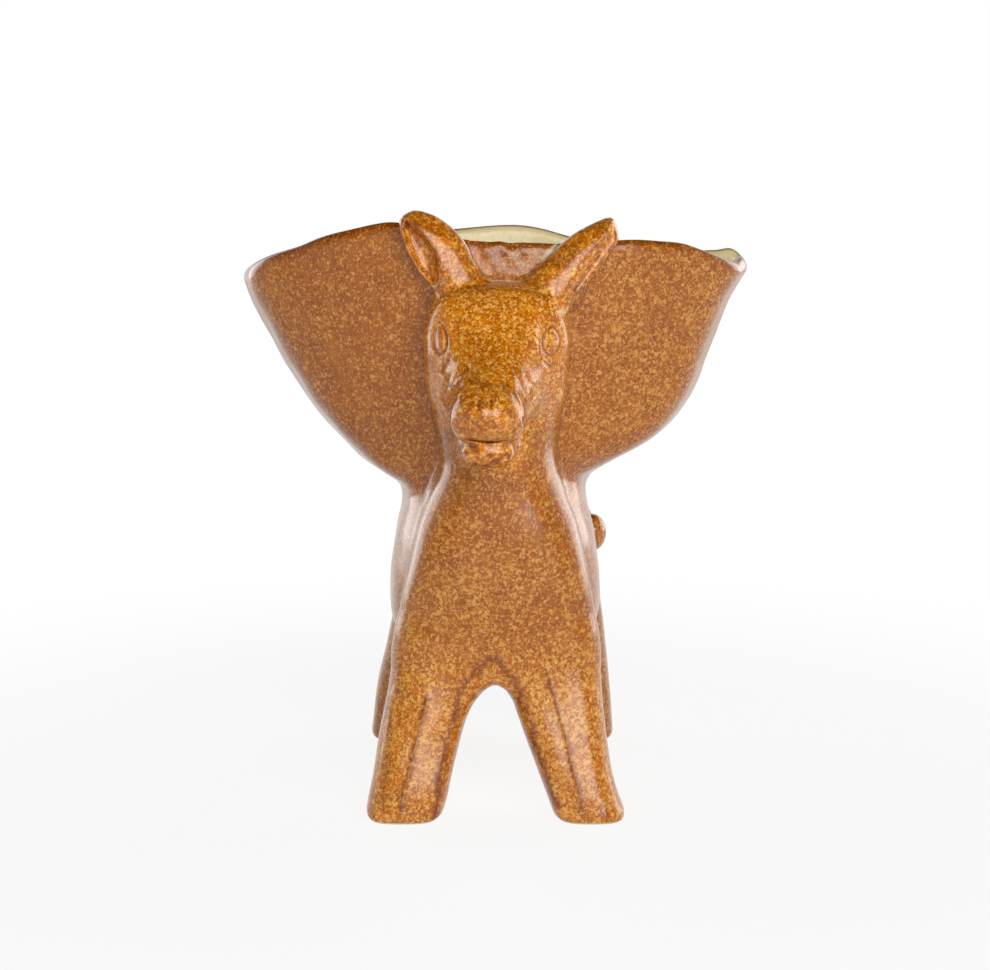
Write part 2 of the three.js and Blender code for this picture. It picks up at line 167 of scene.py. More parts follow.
def roll(p, start, end, across=(1, 0, 0)):
    """A tapered roll of clay between two stations, each a place, a half width and a half depth."""
    origin, finish = np.array(start[0], float), np.array(end[0], float)
    length = np.linalg.norm(finish - origin)
    forward = (finish - origin) / length
    side = np.array(across, float)
    side = side - forward * side.dot(forward)
    side /= np.linalg.norm(side)
    deep = np.cross(forward, side)
    q = [v - o for v, o in zip(p, origin)]
    u, v, w = (sum(float(d[i]) * q[i] for i in range(3)) for d in (side, deep, forward))
    t = np.clip(w / length, 0, 1)
    half_u = start[1] + t * (end[1] - start[1])
    half_v = start[2] + t * (end[2] - start[2])
    return egg([(u, half_u), (v, half_v), (w - t * length, np.minimum(half_u, half_v))])


def rolls(p, stations, reach=3.0, across=(1, 0, 0)):
    """A chain of tapered rolls through several stations."""
    first, *others = (roll(p, start, end, across) for start, end in zip(stations, stations[1:]))
    return luted(first, *((other, reach) for other in others))


# %% [markdown]
# Ears, eyes and creases are easiest to draw as they look from the front, as lines in X and Z. A few points
# give a smooth closed outline, and a cushion is the form that such an outline bounds: full in the middle and
# round at the edge.

# %% Outlines and cushions
def outline(*corners, parts=3):
    """A smooth closed line through the corners."""
    c = np.array(corners, float)
    before, after, next_after = (np.roll(c, k, axis=0) for k in (1, -1, -2))
    t = np.linspace(0, 1, parts, endpoint=False)[:, None, None]
    bend = (2 * c + t * (after - before) + t * t * (2 * before - 5 * c + 4 * after - next_after)
            + t ** 3 * (3 * c - before - 3 * after + next_after)) / 2
    line = bend.transpose(1, 0, 2).reshape(-1, 2)
    return [tuple(spot) for spot in np.concatenate([line, line[:1]])]


def to_line(x, z, line):
    """Distance to a drawn line of several straight parts."""
    best = np.float32(1e6)
    for (ax, az), (bx, bz) in zip(line, line[1:]):
        dx, dz = bx - ax, bz - az
        t = np.clip(((x - ax) * dx + (z - az) * dz) / (dx * dx + dz * dz), 0, 1)
        best = np.minimum(best, (x - ax - t * dx) ** 2 + (z - az - t * dz) ** 2)
    return np.sqrt(best)


def to_outline(x, z, line):
    """Distance to a closed line, negative inside it."""
    within = np.zeros(np.broadcast_shapes(x.shape, z.shape), bool)
    for (ax, az), (bx, bz) in zip(line, line[1:]):
        crossing = (az > z) != (bz > z)
        within ^= crossing & (x < ax + (z - az) * (bx - ax) / (bz - az + 1e-9))
    edge = to_line(x, z, line)
    return np.where(within, -edge, edge)


def cushion(p, line, middle_y, half_y, edge):
    """A form with this outline from the front, rounded over this width at its edge."""
    def past(start):
        return (start + np.sqrt(start * start + edge * edge / 4)) / 2
    across = past(to_outline(p[0], p[2], line) + edge)
    return np.hypot(across, (p[1] - middle_y) * (past(edge) / half_y)) - past(edge)


# %% [markdown]
# ## Barrel
# The body is a hollow boxy egg that narrows a little toward the bowl. A superellipsoid, whose powers are
# higher than an ellipsoid's 2, has the fuller flanks that the front view shows beside the chest. Its
# distance is found from its own measure divided by that measure's slope. The belly has the small vent that
# lets steam out in the kiln.

# %% Barrel
BARREL_MIDDLE, BARREL_HALF = (0, 17, 81), (37.4, 57, 35)
BARREL_TAPER = smooth_curve(
    (48, 1.10), (60, 1.06), (66, 1.035), (72, 1.01), (79, 0.99), (86, 0.965), (101, 0.93), (116, 0.9))
VENT_RADIUS = 4.5


@near((-52, -66, 32), (52, 90, 130))
def barrel(p):
    taper = BARREL_TAPER(p[2])
    parts = [np.abs(v - m) / h for v, m, h in zip((p[0] / taper, p[1], p[2]), BARREL_MIDDLE, BARREL_HALF)]
    size = np.cbrt(sum(part * part * part for part in parts)) + 1e-6
    slope = np.sqrt(sum((part * part / h) ** 2 for part, h in zip(parts, BARREL_HALF))) / (size * size)
    return (size - 1) / np.maximum(slope, 1e-3)


@near((-9, 3, 30), (9, 22, 70))
def vent(p):
    return lump(p, (0, 12.3, 46), (VENT_RADIUS, VENT_RADIUS, 14))


print("Barrel of", [2 * half for half in BARREL_HALF], "mm")

# %% [markdown]
# ## Chest, neck and legs
# Seen from the front, chest, neck and front legs are one slab with a smooth outline from the cheeks to the
# soles, and an arch cut into its foot. So one outline serves all three: a column is a rounded oblong whose
# left and right edges follow an outline by height. The chest and neck are one such column, and each leg is
# another, between the same outer outline and an inner one of its own. The rear pair is made alike.

# %% Columns between two outlines
FRONT_LEFT = smooth_curve(
    (0, 44.4), (14, 42), (28, 39.4), (44, 36.6), (58, 34.6), (71, 32.5), (83, 30.1), (95, 27), (105, 24),
    (113.5, 20.9), (120, 18.9), (127, 19.5), (136, 21.2), (146, 21.6), (160, 20))
FRONT_RIGHT = smooth_curve(
    (0, 45.4), (6, 42.9), (14, 40.5), (26, 38.3), (44, 36.6), (61, 34.9), (78, 32.8), (90, 30.4), (102, 27),
    (112, 23.6), (120, 21.4), (125, 21.2), (136, 22.3), (146, 22.6), (160, 21))
LEFT_INNER, RIGHT_INNER = smooth_curves(
    (0, 7, 14, 21, 28, 35, 41, 44, 46, 52),
    (18.4, 16.3, 14.7, 13, 11.2, 8.8, 5.4, 2.4, -1, -9),
    (20.4, 18, 15.3, 12.6, 10.1, 7.5, 4.9, 2.4, -1, -9))
FRONT_Y, FRONT_DEEP = smooth_curves(
    (0, 15, 30, 46, 56, 66, 72),
    (-41.6, -38.8, -35.6, -33, -32.2, -31.8, -31.4),
    (13.4, 13.6, 13.8, 13.8, 13.9, 13.6, 13))
CHEST_MIDDLE, CHEST_DEEP = smooth_curves(
    (48, 56, 66, 75, 95, 112, 125, 160),
    (-32.6, -32.6, -32.6, -32.6, -31.3, -28, -26.4, -25),
    (13.4, 14.3, 15.2, 15.9, 17.6, 21, 23, 22))
REAR_LEFT, REAR_RIGHT = smooth_curves(
    (0, 8, 16, 31, 39, 47, 58, 80),
    (48.2, 47.2, 46.2, 43.4, 41.2, 39.4, 37.8, 34),
    (46, 45.2, 44.6, 43.3, 42.4, 41.6, 40, 34.4))
REAR_INNER = smooth_curve((0, 21.5), (12, 19.5), (24, 17), (34, 13), (42, 7), (48, 0), (56, -9))
REAR_Y, REAR_DEEP = smooth_curves((0, 46, 80), (65.3, 60.3, 57), (13.2, 14.8, 15.5))
CHEST_ROUND = smooth_curve((48, 1), (90, 0.9), (112, 1.4), (130, 1.9), (160, 1.9))
LEG_ROUND = 0.5
SOLE_ROUND = 4.0
LEG_END_Z, LEG_END_ROUND = 72, 12
CHEST_FOOT_Z, CHEST_FOOT_ROUND = 48, 12
NECK_TOP_Z, NECK_TOP_ROUND = 158, 10


def column(p, left, right, middle_y, half_y, roundness):
    """A rounded oblong between two outlines: a roundness of 0 is boxy, and 2 is an ellipse."""
    x, y = p[:2]
    half_x = (right - left) / 2
    u = (x - (left + right) / 2) / half_x
    v = (y - middle_y) / half_y
    uu, vv = u * u, v * v
    size = np.sqrt(np.sqrt(uu * uu + vv * vv + roundness * uu * vv)) + 1e-6
    half = roundness / 2
    slope = np.sqrt(uu * ((uu + half * vv) / half_x) ** 2 + vv * ((vv + half * uu) / half_y) ** 2) / size ** 3
    return (size - 1) / np.maximum(slope, 0.02)


def leg(side, inner, outer, middle_y, half_y, span_y):
    """One leg on its flat sole, left for side -1 and right for 1."""
    span_x = sorted((-16 * side, 58 * side))

    @near((span_x[0], span_y[0], -8), (span_x[1], span_y[1], 88))
    def form(p):
        z = p[2]
        edges = (inner(z), outer(z)) if side > 0 else (-outer(z), -inner(z))
        standing = trim(column(p, *edges, middle_y(z), half_y(z), LEG_ROUND), -z, SOLE_ROUND)
        return trim(standing, z - LEG_END_Z, LEG_END_ROUND)
    return form


LEGS = {
    "front_left_leg": leg(-1, LEFT_INNER, FRONT_LEFT, FRONT_Y, FRONT_DEEP, (-70, -8)),
    "front_right_leg": leg(1, RIGHT_INNER, FRONT_RIGHT, FRONT_Y, FRONT_DEEP, (-70, -8)),
    "rear_left_leg": leg(-1, REAR_INNER, REAR_LEFT, REAR_Y, REAR_DEEP, (36, 92)),
    "rear_right_leg": leg(1, REAR_INNER, REAR_RIGHT, REAR_Y, REAR_DEEP, (36, 92)),
}


@near((-52, -66, 34), (52, -4, 172))
def chest_and_neck(p):
    z = p[2]
    slab = column(p, -FRONT_LEFT(z), FRONT_RIGHT(z), CHEST_MIDDLE(z), CHEST_DEEP(z), CHEST_ROUND(z))
    return trim(trim(slab, CHEST_FOOT_Z - z, CHEST_FOOT_ROUND), z - NECK_TOP_Z, NECK_TOP_ROUND)


neck_width = FRONT_LEFT(np.array(120.0)) + FRONT_RIGHT(np.array(120.0))
print("Legs:", list(LEGS), "and a neck", float(neck_width), "mm wide")

# %% [markdown]
# ## Bowl
# From above the bowl is a boat: two long arcs that run into narrow blunt ends, which slant a little to the
# front and show there as a pale strip. Its width grows fast from the foot and then ever less, and the right
# side bulges lower than the left, so each side has its own curve. The rim is hand cut: it drops to both ends,
# crests left of the head, and rises again at the right tip of the far side. Between the ears its front leans
# in and ripples. The wall is the outside form less the same form shrunk by the wall's thickness.

# %% Bowl
BOWL_MIDDLE_Y = 7.3
BOWL_WALL = 5.0
BOWL_FOOT_Z, BOWL_FLOOR_Z = 103, 113
RIM_ROUND, RIM_BLEND, FLOOR_ROUND = 4.4, 16, 9
END_HALF, END_SLANT, END_ROUND, END_OVER = 8.0, 0.3, 4.0, 2.2
BOWL_LEFT = smooth_curve(
    (100, 26), (107, 32.4), (112, 40.6), (117, 47.4), (122, 52.2), (127.5, 57.2), (138, 65.5), (145, 69.9),
    (152, 74.3), (159, 77.9), (166, 81.7), (173, 85.3), (180, 87.8), (190, 89.2), (206, 91))
BOWL_RIGHT = smooth_curve(
    (100, 26), (107, 29.6), (112, 34.8), (117, 43.6), (122, 53.2), (127.5, 60.1), (138, 68), (145, 71.6), (152, 74),
    (159, 76.3), (166, 78.8), (173, 81.8), (180, 85.8), (185, 88.8), (190, 90.4), (206, 92))
BOWL_DEEP = smooth_curve(
    (100, 25), (107, 27), (110, 29.5), (115, 31.3), (125, 33.3), (140, 35.3), (160, 37.3), (180, 39), (206, 41))
NEAR_RIM = smooth_curve(
    (-90, 183), (-86, 185), (-80, 188), (-72, 191.7), (-65, 194), (-58, 196.4), (-52, 198.3), (-43, 200.6),
    (-33, 201.8), (-22, 199.5), (-11, 196.6), (2, 195.7), (14, 195.2), (24, 195), (32, 195.4), (42, 195.9),
    (55, 195.1), (65, 194), (71, 191.9), (83, 186.8), (90, 184))
FAR_RIM = smooth_curve(
    (-90, 183), (-84, 186.5), (-70, 191.5), (-50, 195), (-30, 196.4), (-14, 197), (2, 198), (10, 197.8),
    (18, 196.8), (25, 195), (40, 192), (60, 189.8), (79, 190.2), (85, 190.4), (88, 187.8), (90, 184.5))


def rim_height(x, y):
    """The height of the cut rim: the near and far outlines, blended across the bowl."""
    back = step_up((y - BOWL_MIDDLE_Y) / RIM_BLEND + 0.5, 0, 1)
    return NEAR_RIM(x) * (1 - back) + FAR_RIM(x) * back


def boat(p):
    """Distance to the bowl's outside, as if it were solid and had no rim."""
    x, y, z = p
    left, right, deep = BOWL_LEFT(z), BOWL_RIGHT(z), BOWL_DEEP(z)
    half = (left + right) / 2 + END_OVER
    u = np.abs(x - (right - left) / 2)
    v = np.abs(y - BOWL_MIDDLE_Y)
    drop = (half ** 2 + END_HALF ** 2 - deep ** 2) / (2 * (deep - END_HALF))
    side = np.hypot(u, v + drop) - (drop + deep)
    end = u - half + END_SLANT * np.maximum(BOWL_MIDDLE_Y + END_HALF - y, 0)
    flat = trim(side, end / math.hypot(1, END_SLANT), END_ROUND)

    def growth(curve, step=0.5):
        return (curve(z + step) - curve(z - step)) / (2 * step)
    end_slope, side_slope = (growth(BOWL_LEFT) + growth(BOWL_RIGHT)) / 2, growth(BOWL_DEEP)
    share = np.clip(u / half, 0, 1) ** 2
    slope = side_slope + (end_slope - side_slope) * share
    return flat / np.sqrt(1 + slope * slope)


BOWL_BOX = near((-100, -50, 98), (100, 64, 214))


@BOWL_BOX
def bowl_outside(p):
    x, y, z = p
    below = rim_height(x, y) - z
    lean = np.exp(-((x - 3) / 13) ** 2) * (y < 0) * np.clip((z - 184) / 12, 0, 1)
    ripple = 0.5 * np.sin(0.75 * x + 0.5) * np.sin(0.6 * z + 0.2 * x)
    return trim(boat(p) + lean * (1.7 + ripple), np.maximum(-below, BOWL_FOOT_Z - z), RIM_ROUND)


@BOWL_BOX
def bowl_hollow(p):
    return trim(boat(p) + BOWL_WALL, BOWL_FLOOR_Z - p[2], FLOOR_ROUND)


crest, left_end = (float(NEAR_RIM(np.array(x))) for x in (-33.0, -88.0))
print("Rim from", crest, "mm at its crest to", left_end, "at the left end")

# %% [markdown]
# ## Head
# The head is a wedge: a boxy cranium between the ears, a bridge that narrows toward the nose, and a
# bulging muzzle that points a little to the left. Five lumps and rolls are pressed together. The mouth is
# a thin slit between the muzzle and the lower jaw.

# %% Head and jaw
HEAD_BOX = near((-34, -92, 112), (34, -14, 194))


def boxy(p, middle, half, lean):
    """A rounded block, leaned by some degrees about X."""
    u, v, w = parts = [part / h for part, h in zip(offsets(p, middle, lean), half)]
    corners = 0.8 * (u * v) ** 2 + 0.8 * (v * w) ** 2 + 0.3 * (u * w) ** 2
    size = np.sqrt(np.sqrt(sum(part ** 2 * part ** 2 for part in parts) + corners)) + 1e-6
    slope = np.sqrt(sum((part ** 3 / h) ** 2 for part, h in zip(parts, half))) / size ** 3
    return (size - 1) / np.maximum(slope, 0.03)


@HEAD_BOX
def head(p):
    cranium = boxy(p, (0.7, -36.5, 157.8), (24, 15, 24.2), 10)
    bridge = roll(p, ((0.5, -41, 161.5), 20, 12.5), ((-2.3, -65.8, 145.4), 10.8, 8.4))
    cheek = roll(p, ((-0.2, -40, 149), 20.5, 13), ((-2.2, -60, 141.2), 11.8, 9))
    muzzle = lump(p, (-2.5, -68, 141.4), (12.3, 11.2, 8.7), -10)
    lip = roll(p, ((-9, -68.5, 137.4), 5, 4.2), ((4.2, -68.5, 137.4), 5, 4.2), across=(0, 1, 0))
    return luted(cranium, (bridge, 9), (cheek, 6), (muzzle, 3), (lip, 4))


@HEAD_BOX
def lower_jaw(p):
    return roll(p, ((-2.4, -67.2, 129.3), 8.5, 5.3), ((-1.2, -44, 128.8), 9.4, 7))


@HEAD_BOX
def mouth(p):
    smile = p[2] - 133.1 - 0.012 * (p[0] + 1.2) ** 2
    return lump((p[0], p[1], smile), (-2.4, -78.6, 0), (10.8, 8.5, 0.8))


print("Head: cranium, bridge, cheek, muzzle, jaw")

# %% [markdown]
# ## Ears
# Each ear is a thick leaf that leans back a little, with its hollow to its own side. A cushion with the leaf's
# outline makes it, and a second cushion, set in front of it, scoops the hollow out. The left ear stands up and
# shows its hollow to the front. The right ear leans out further and shows only a narrow band of its own.

# %% Ears
LEFT_LEAF = outline(
    (-27.3, 205.6), (-22.1, 204.7), (-17.6, 202.4), (-12.8, 198.6), (-9.2, 194.3), (-6, 188.3), (-2.6, 182.6),
    (-2.5, 175), (-10, 170), (-18.5, 172.5), (-21, 179.8), (-25.3, 184.9), (-28.9, 191.2), (-31.2, 196.9),
    (-31.6, 202.6))
LEFT_SCOOP = outline(
    (-30.2, 203.2), (-26.3, 200.6), (-23.1, 197.4), (-20.4, 193), (-19, 188.4), (-18.8, 183.4), (-20.6, 180.6),
    (-24.6, 184), (-28.4, 190), (-30.8, 196.8))
RIGHT_LEAF = outline(
    (12.6, 184.9), (19.4, 192.2), (25.9, 197.8), (32.6, 201.4), (38.2, 203.2), (40.3, 200.6), (41.2, 195.7),
    (37.6, 190), (31.5, 182), (24.9, 173), (18, 168), (9.5, 170), (6.5, 177.5))
RIGHT_SCOOP = outline(
    (39.2, 200.4), (35.6, 195.9), (32.6, 191.4), (28.8, 185.6), (25.4, 180), (27.3, 178.6), (32.3, 184),
    (37.1, 190.2), (40.7, 195.6), (40.8, 198.8))
EAR_Y, EAR_MIDDLE_Z = -36.5, 186.0
EAR_LEAN = 0.12
EAR_EDGE = 8.0


def lean_back(p):
    """The place of each point in an ear that leans back by seven degrees."""
    return p[0], p[1] - EAR_LEAN * (p[2] - EAR_MIDDLE_Z), p[2]


@near((-42, -60, 160), (6, -16, 214))
def left_ear(p):
    q = lean_back(p)
    return carve(cushion(q, LEFT_LEAF, EAR_Y, 7.0, EAR_EDGE), cushion(q, LEFT_SCOOP, -42.6, 5.6, 3.4), 1.2)


@near((-2, -60, 158), (52, -16, 212))
def right_ear(p):
    q = lean_back(p)
    return carve(cushion(q, RIGHT_LEAF, EAR_Y, 7.2, EAR_EDGE), cushion(q, RIGHT_SCOOP, -43.4, 3.4, 2.6), 1.4)


print("Ears: outlines of", len(LEFT_LEAF), "and", len(RIGHT_LEAF), "points")

# %% [markdown]
# ## Tail
# Only the tuft shows in the front view, at the right flank. The coil from the rump round to it is laid on
# the barrel like a rope of clay.

# %% Tail and tuft
TAIL_ROUTE = [(5, 74, 97), (17, 74, 95), (27, 70, 90.5), (32.5, 62, 86.5), (34.5, 53, 84.5)]


@near((-12, 30, 60), (60, 96, 116))
def tail(p):
    return rolls(p, [(place, 3.9, 3.9) for place in TAIL_ROUTE], 2.0, across=(0, 0, 1))


@near((20, 20, 58), (60, 76, 104))
def tail_tuft(p):
    return lump(p, (36.4, 46.5, 83.2), (5.2, 7, 7))


print("Tail laid through", len(TAIL_ROUTE), "points")

# %% [markdown]
# ## Lines of the face
# Eyes, lids, nostrils and creases are pressed in with a tool. Each mark is a line drawn on the front view,
# in X and Z, that sinks the surface under it or, with a negative depth, raises it. A mark has a soft
# round profile. The eyes are almonds: a groove round each, a raised pellet inside and a lid above. Where the
# glaze ran down the front legs it stands out in low ridges, which are drawn in the same way.

# %% Marks of the modelling tool
LEFT_EYE = outline(
    (-18.3, 169.8), (-16.4, 166.6), (-15.9, 163.4), (-16.7, 160.2), (-18.1, 159.2), (-19.6, 161), (-20.1, 164.4),
    (-19.5, 167.8))
RIGHT_EYE = outline(
    (18.3, 168.2), (20.3, 166.6), (21.2, 163.2), (20.2, 160.2), (18.4, 159), (16.6, 159.9), (15.7, 162.8),
    (16.4, 166.4))
MARKS = [
    (LEFT_EYE, 0.5, 0.5), (((-17.9, 166.6), (-17.9, 161.6)), 1.3, -0.6),
    (RIGHT_EYE, 0.5, 0.4), (((18.4, 165), (18.4, 161.6)), 1.6, -0.5),
    (((-15.4, 169.5), (-14.4, 165), (-14.6, 160.5)), 0.7, -0.4),
    (((15, 169), (14.3, 164.5), (14.8, 160)), 0.7, -0.4),
    (((-15.3, 157.8), (-16.9, 155.3), (-17.3, 153.4)), 0.6, 0.6),
    (((16.2, 157), (17.6, 155.6), (19.6, 156)), 0.6, 0.5),
    (((-8.8, 155.9), (-11.5, 153), (-13.6, 149.6)), 1.3, 0.75),
    (((-13.8, 149), (-15, 145.1), (-15.2, 140.9)), 1.2, 0.5),
    (((6, 156.3), (7.4, 153), (9.2, 148.7), (10.2, 143.9), (10.2, 139.6)), 0.9, 0.5),
    (((3.8, 151.8), (6.2, 147.8), (8.3, 143.6), (9.4, 139)), 0.7, 0.35),
    (((9.8, 153.1), (12.1, 149.4), (12.6, 146.4)), 1, 0.35),
    (((-5, 147), (-5.3, 144.6)), 0.65, 0.6), (((-1.4, 147.1), (-1.2, 144.6)), 0.65, 0.6),
    (((10.5, 170), (8.5, 163), (6.4, 155), (5.6, 150)), 2.6, -0.5),
    (((-17.5, 176), (-10, 179.2), (0, 180.2), (10, 179.4), (17.5, 176.6)), 0.9, -0.5),
]


def drawn(p, lines):
    """The height of soft round marks along drawn lines, each a line, a width and a height."""
    return sum(height * np.exp(-((to_line(p[0], p[2], line) / width) ** 2)) for line, width, height in lines)


@near((-26, -84, 136), (26, -38, 184), away=0.0)
def face_marks(p):
    return drawn(p, MARKS) * np.clip((-39 - p[1]) / 2.5, 0, 1)


DRIPS = [
    (((-35.4, 42), (-36.4, 27.2), (-37.8, 4.9)), 1.1, 0.6),
    (((-22.8, 42.6), (-25.5, 32.6), (-28.1, 20.8), (-30.7, 12.1), (-31.9, 3.4)), 1, 1),
    (((-5.7, 53.8), (-9.1, 48.9), (-11.8, 44.1), (-14.9, 32.2), (-17.6, 22.4), (-19.3, 12.6), (-20.3, 2.8)), 1.4, 1),
    (((2.3, 54.8), (7, 47.2), (11.4, 36.5), (14.5, 25.8), (17.7, 15.9), (20.3, 7.1)), 1.4, 1),
    (((17.6, 52.2), (20.1, 42.4), (23.4, 32.7), (26.1, 20.8), (28.3, 12.1), (29.9, 3.4)), 0.9, 0.9),
    (((-6.5, 51), (-3.4, 55.4), (0.8, 56.2), (3.4, 53.8)), 1.4, 0.9),
    (((-32.9, 52.2), (-32.3, 43.6)), 1.3, 0.6), (((37, 7.4), (37.7, 2.1)), 1.2, 0.6),
]


@near((-46, -62, 2), (46, -36, 62), away=0.0)
def drip_ridges(p):
    return -0.3 * drawn(p, DRIPS) * np.clip((-38 - p[1]) / 3, 0, 1)


print("Tool marks:", len(MARKS), "and drips:", len(DRIPS))

# %% [markdown]
# ## The whole figure
# Now the forms are luted together. The reach of each joint follows the figure: ten millimetres where the
# rear legs spread into the barrel, three where the front legs, the chest and the ears join on, and less at
# the jaw. The hollow of the bowl comes out last, so that nothing of the head is left inside it. A slow
# wobble of a third of a millimetre keeps the highlights from being machine-straight.

# %% Lute the forms together
def wobble(p):
    """The unevenness of hand-worked clay, in millimetres, gone at the flat soles."""
    x, y, z = p
    rise = np.clip((z - 1) / 8, 0, 1)
    slow = np.sin(0.11 * x + 0.05 * z + 0.7) * np.sin(0.09 * y - 0.12 * z + 1.9)
    quick = np.sin(0.23 * x - 0.11 * y + 4.0) * np.sin(0.21 * z + 0.13 * y + 0.4)
    return rise * (0.22 * slow + 0.14 * quick)


FORMS = {"barrel": barrel, "chest_and_neck": chest_and_neck, "head": head, "lower_jaw": lower_jaw,
         "left_ear": left_ear, "right_ear": right_ear, "tail": tail, "tail_tuft": tail_tuft, **LEGS}


def lumps_of_clay(p):
    """Each form by itself, before it is luted to the others."""
    return {name: form(p) for name, form in FORMS.items()}


def clay(p):
    """The whole figure as one field."""
    forms = lumps_of_clay(p)
    front = luted(forms["front_left_leg"], (forms["front_right_leg"], 3), (forms["chest_and_neck"], 3))
    front = front + drip_ridges(p)
    rear = join(forms["rear_left_leg"], forms["rear_right_leg"], 5)
    trunk = luted(forms["barrel"], (front, 3), (rear, 10), (forms["tail"], 2), (forms["tail_tuft"], 1.2))
    face = luted(forms["head"], (forms["lower_jaw"], 1.6), (forms["left_ear"], 3), (forms["right_ear"], 3))
    face = carve(face + face_marks(p), mouth(p), 0.7)
    animal = carve(join(trunk, face, 3.5), vent(p), 2.0)
    reach = 2.0 + 7.0 * np.clip((122 - p[2]) / 12, 0, 1)
    figure = join(animal, bowl_outside(p), reach)
    return carve(figure, bowl_hollow(p), 3.6) + wobble(p)


print("Luted to the bowl:", list(FORMS))

# %% [markdown]
# ## From field to mesh
# The field is sampled on a grid and its zero surface is traced. The grid is finer across the face and the
# ears than at the belly: its lines are simply closer together there, and the traced points are moved from
# grid lines to millimetres afterwards.

# %% Trace the surface
def grid_lines(*spans):
    """Grid lines over several spans, each (start, end, spacing)."""
    lines = [np.arange(start, end, spacing) for start, end, spacing in spans]
    return np.concatenate(lines + [[spans[-1][1]]])


grid = [grid_lines((-92, -43, 1.25), (-43, 43, 0.65), (43, 92, 1.25)),
        grid_lines((-84, -26, 0.65), (-26, 84, 1.25)),
        grid_lines((-3, 116, 1.2), (116, 209, 0.65))]
open_grid = np.meshgrid(*(lines.astype(np.float32) for lines in grid), indexing="ij", sparse=True)
samples = clay(tuple(open_grid)).astype(np.float32)
volume = openvdb.FloatGrid(FAR)
volume.copyFromArray(np.clip(samples, -FAR, FAR))
traced, _, quads = volume.convertToPolygons(0.0, 0.0)
points = np.stack([np.interp(place, np.arange(len(lines)), lines) for place, lines in zip(traced.T, grid)], 1)
triangles = np.concatenate([quads[:, [0, 1, 2]], quads[:, [0, 2, 3]]]).astype(np.int64)
print("Grid", samples.shape, "gives", len(points), "points and", len(triangles), "triangles")

# %% [markdown]
# The traced points lie close to the surface but not on it. A few Newton steps along the field's slope put
# them there, and the slope itself is the exact normal of the clay, which is kept for shading.

# %% Settle the points on the clay
def slope_of(form, spots, step=0.04):
    """The value and the slope of a field at a list of points."""
    value = form(tuple(spots.T))
    moved = np.stack([form(tuple((spots + way).T)) for way in step * np.eye(3)], 1)
    return value, (moved - value[:, None]) / step


def settle(spots, rounds=3, most=0.4):
    """Moves points onto the clay's surface."""
    for _ in range(rounds):
        value, slope = slope_of(clay, spots)
        push = -value / np.maximum((slope * slope).sum(axis=1), 0.04)
        spots = spots + np.clip(push[:, None] * slope, -most, most)
    return spots


points = settle(points)
print("Farthest point from the clay:", round(float(np.abs(clay(tuple(points.T))).max()), 3), "mm")


# %% [markdown]
# The tool marks on the face are finer than the grid. Triangles that bend sharply are split through the
# middles of their sides, together with the neighbours that share a split side, and the new points are
# settled on the clay as well.

# %% Refine the mesh where it bends
def normals_of(spots):
    _, slope = slope_of(clay, spots)
    return slope / np.maximum(np.linalg.norm(slope, axis=1, keepdims=True), 1e-9)


def split_sides(spots, faces, chosen):
    """Splits the chosen triangles' sides. Returns the points, new ones last, and the triangles."""
    sides = np.sort(faces[:, [[0, 1], [1, 2], [2, 0]]], axis=2)
    code = sides[:, :, 0] * len(spots) + sides[:, :, 1]
    split = np.unique(code[chosen])
    place = np.minimum(np.searchsorted(split, code), len(split) - 1)
    middle = np.where(split[place] == code, len(spots) + place, -1)
    spots = np.concatenate([spots, (spots[split // len(spots)] + spots[split % len(spots)]) / 2])
    count = (middle >= 0).sum(axis=1)
    out = [faces[count == 0]]
    for corner in range(3):
        order = np.roll(np.arange(3), -corner)
        a, b, c = faces[:, order].T
        ab, bc, ca = middle[:, order].T
        one = (count == 1) & (ab >= 0)
        out += [np.stack(s, 1)[one] for s in ((a, ab, c), (ab, b, c))]
        two = (count == 2) & (ca < 0)
        out += [np.stack(s, 1)[two] for s in ((a, ab, c), (ab, bc, c), (ab, b, bc))]
    a, b, c = faces[count == 3].T
    ab, bc, ca = middle[count == 3].T
    out += [np.stack(s, 1) for s in ((a, ab, ca), (ab, b, bc), (ca, bc, c), (ab, bc, ca))]
    return spots, np.concatenate(out)


def bend_of(spots, faces):
    """The least cosine between the normals at a triangle's corners, and its longest side."""
    corner = normals_of(spots)[faces]
    cosine = np.min([(corner[:, i] * corner[:, i - 1]).sum(axis=1) for i in range(3)], axis=0)
    side = np.max([np.linalg.norm(spots[faces[:, i]] - spots[faces[:, i - 1]], axis=1) for i in range(3)], axis=0)
    return cosine, side


for sharpest, shortest in ((0.965, 0.7), (0.95, 0.42)):
    cosine, side = bend_of(points, triangles)
    before = len(points)
    points, triangles = split_sides(points, triangles, (cosine < sharpest) & (side > shortest))
    points[before:] = settle(points[before:], 2, 0.25)
print("Refined to", len(points), "points and", len(triangles), "triangles")

# %% [markdown]
# ## One piece of clay per CAD node
# The skin is one surface, but the figure is an assembly: bowl, barrel, neck, head and so on. Each point of
# the skin belongs to the piece whose own form is nearest, and the skin is cut along the lines where two
# forms are equally near, which is where a potter would lute them. The inside of the bowl is all the bowl's
# own. Both sides of a cut share its points and normals, so the glaze runs over the joint without a seam, as on
# the real figure.

# %% Cut the skin into pieces
LEG_TOP = 62.0
CUT_OFF = 1e-3  # keeps a cut from falling on a point
ORDER = ["left_eye", "right_eye", "tail_tuft", "tail", "left_ear", "right_ear", "lower_jaw", "head", "neck", *LEGS,
         "bowl", "body"]


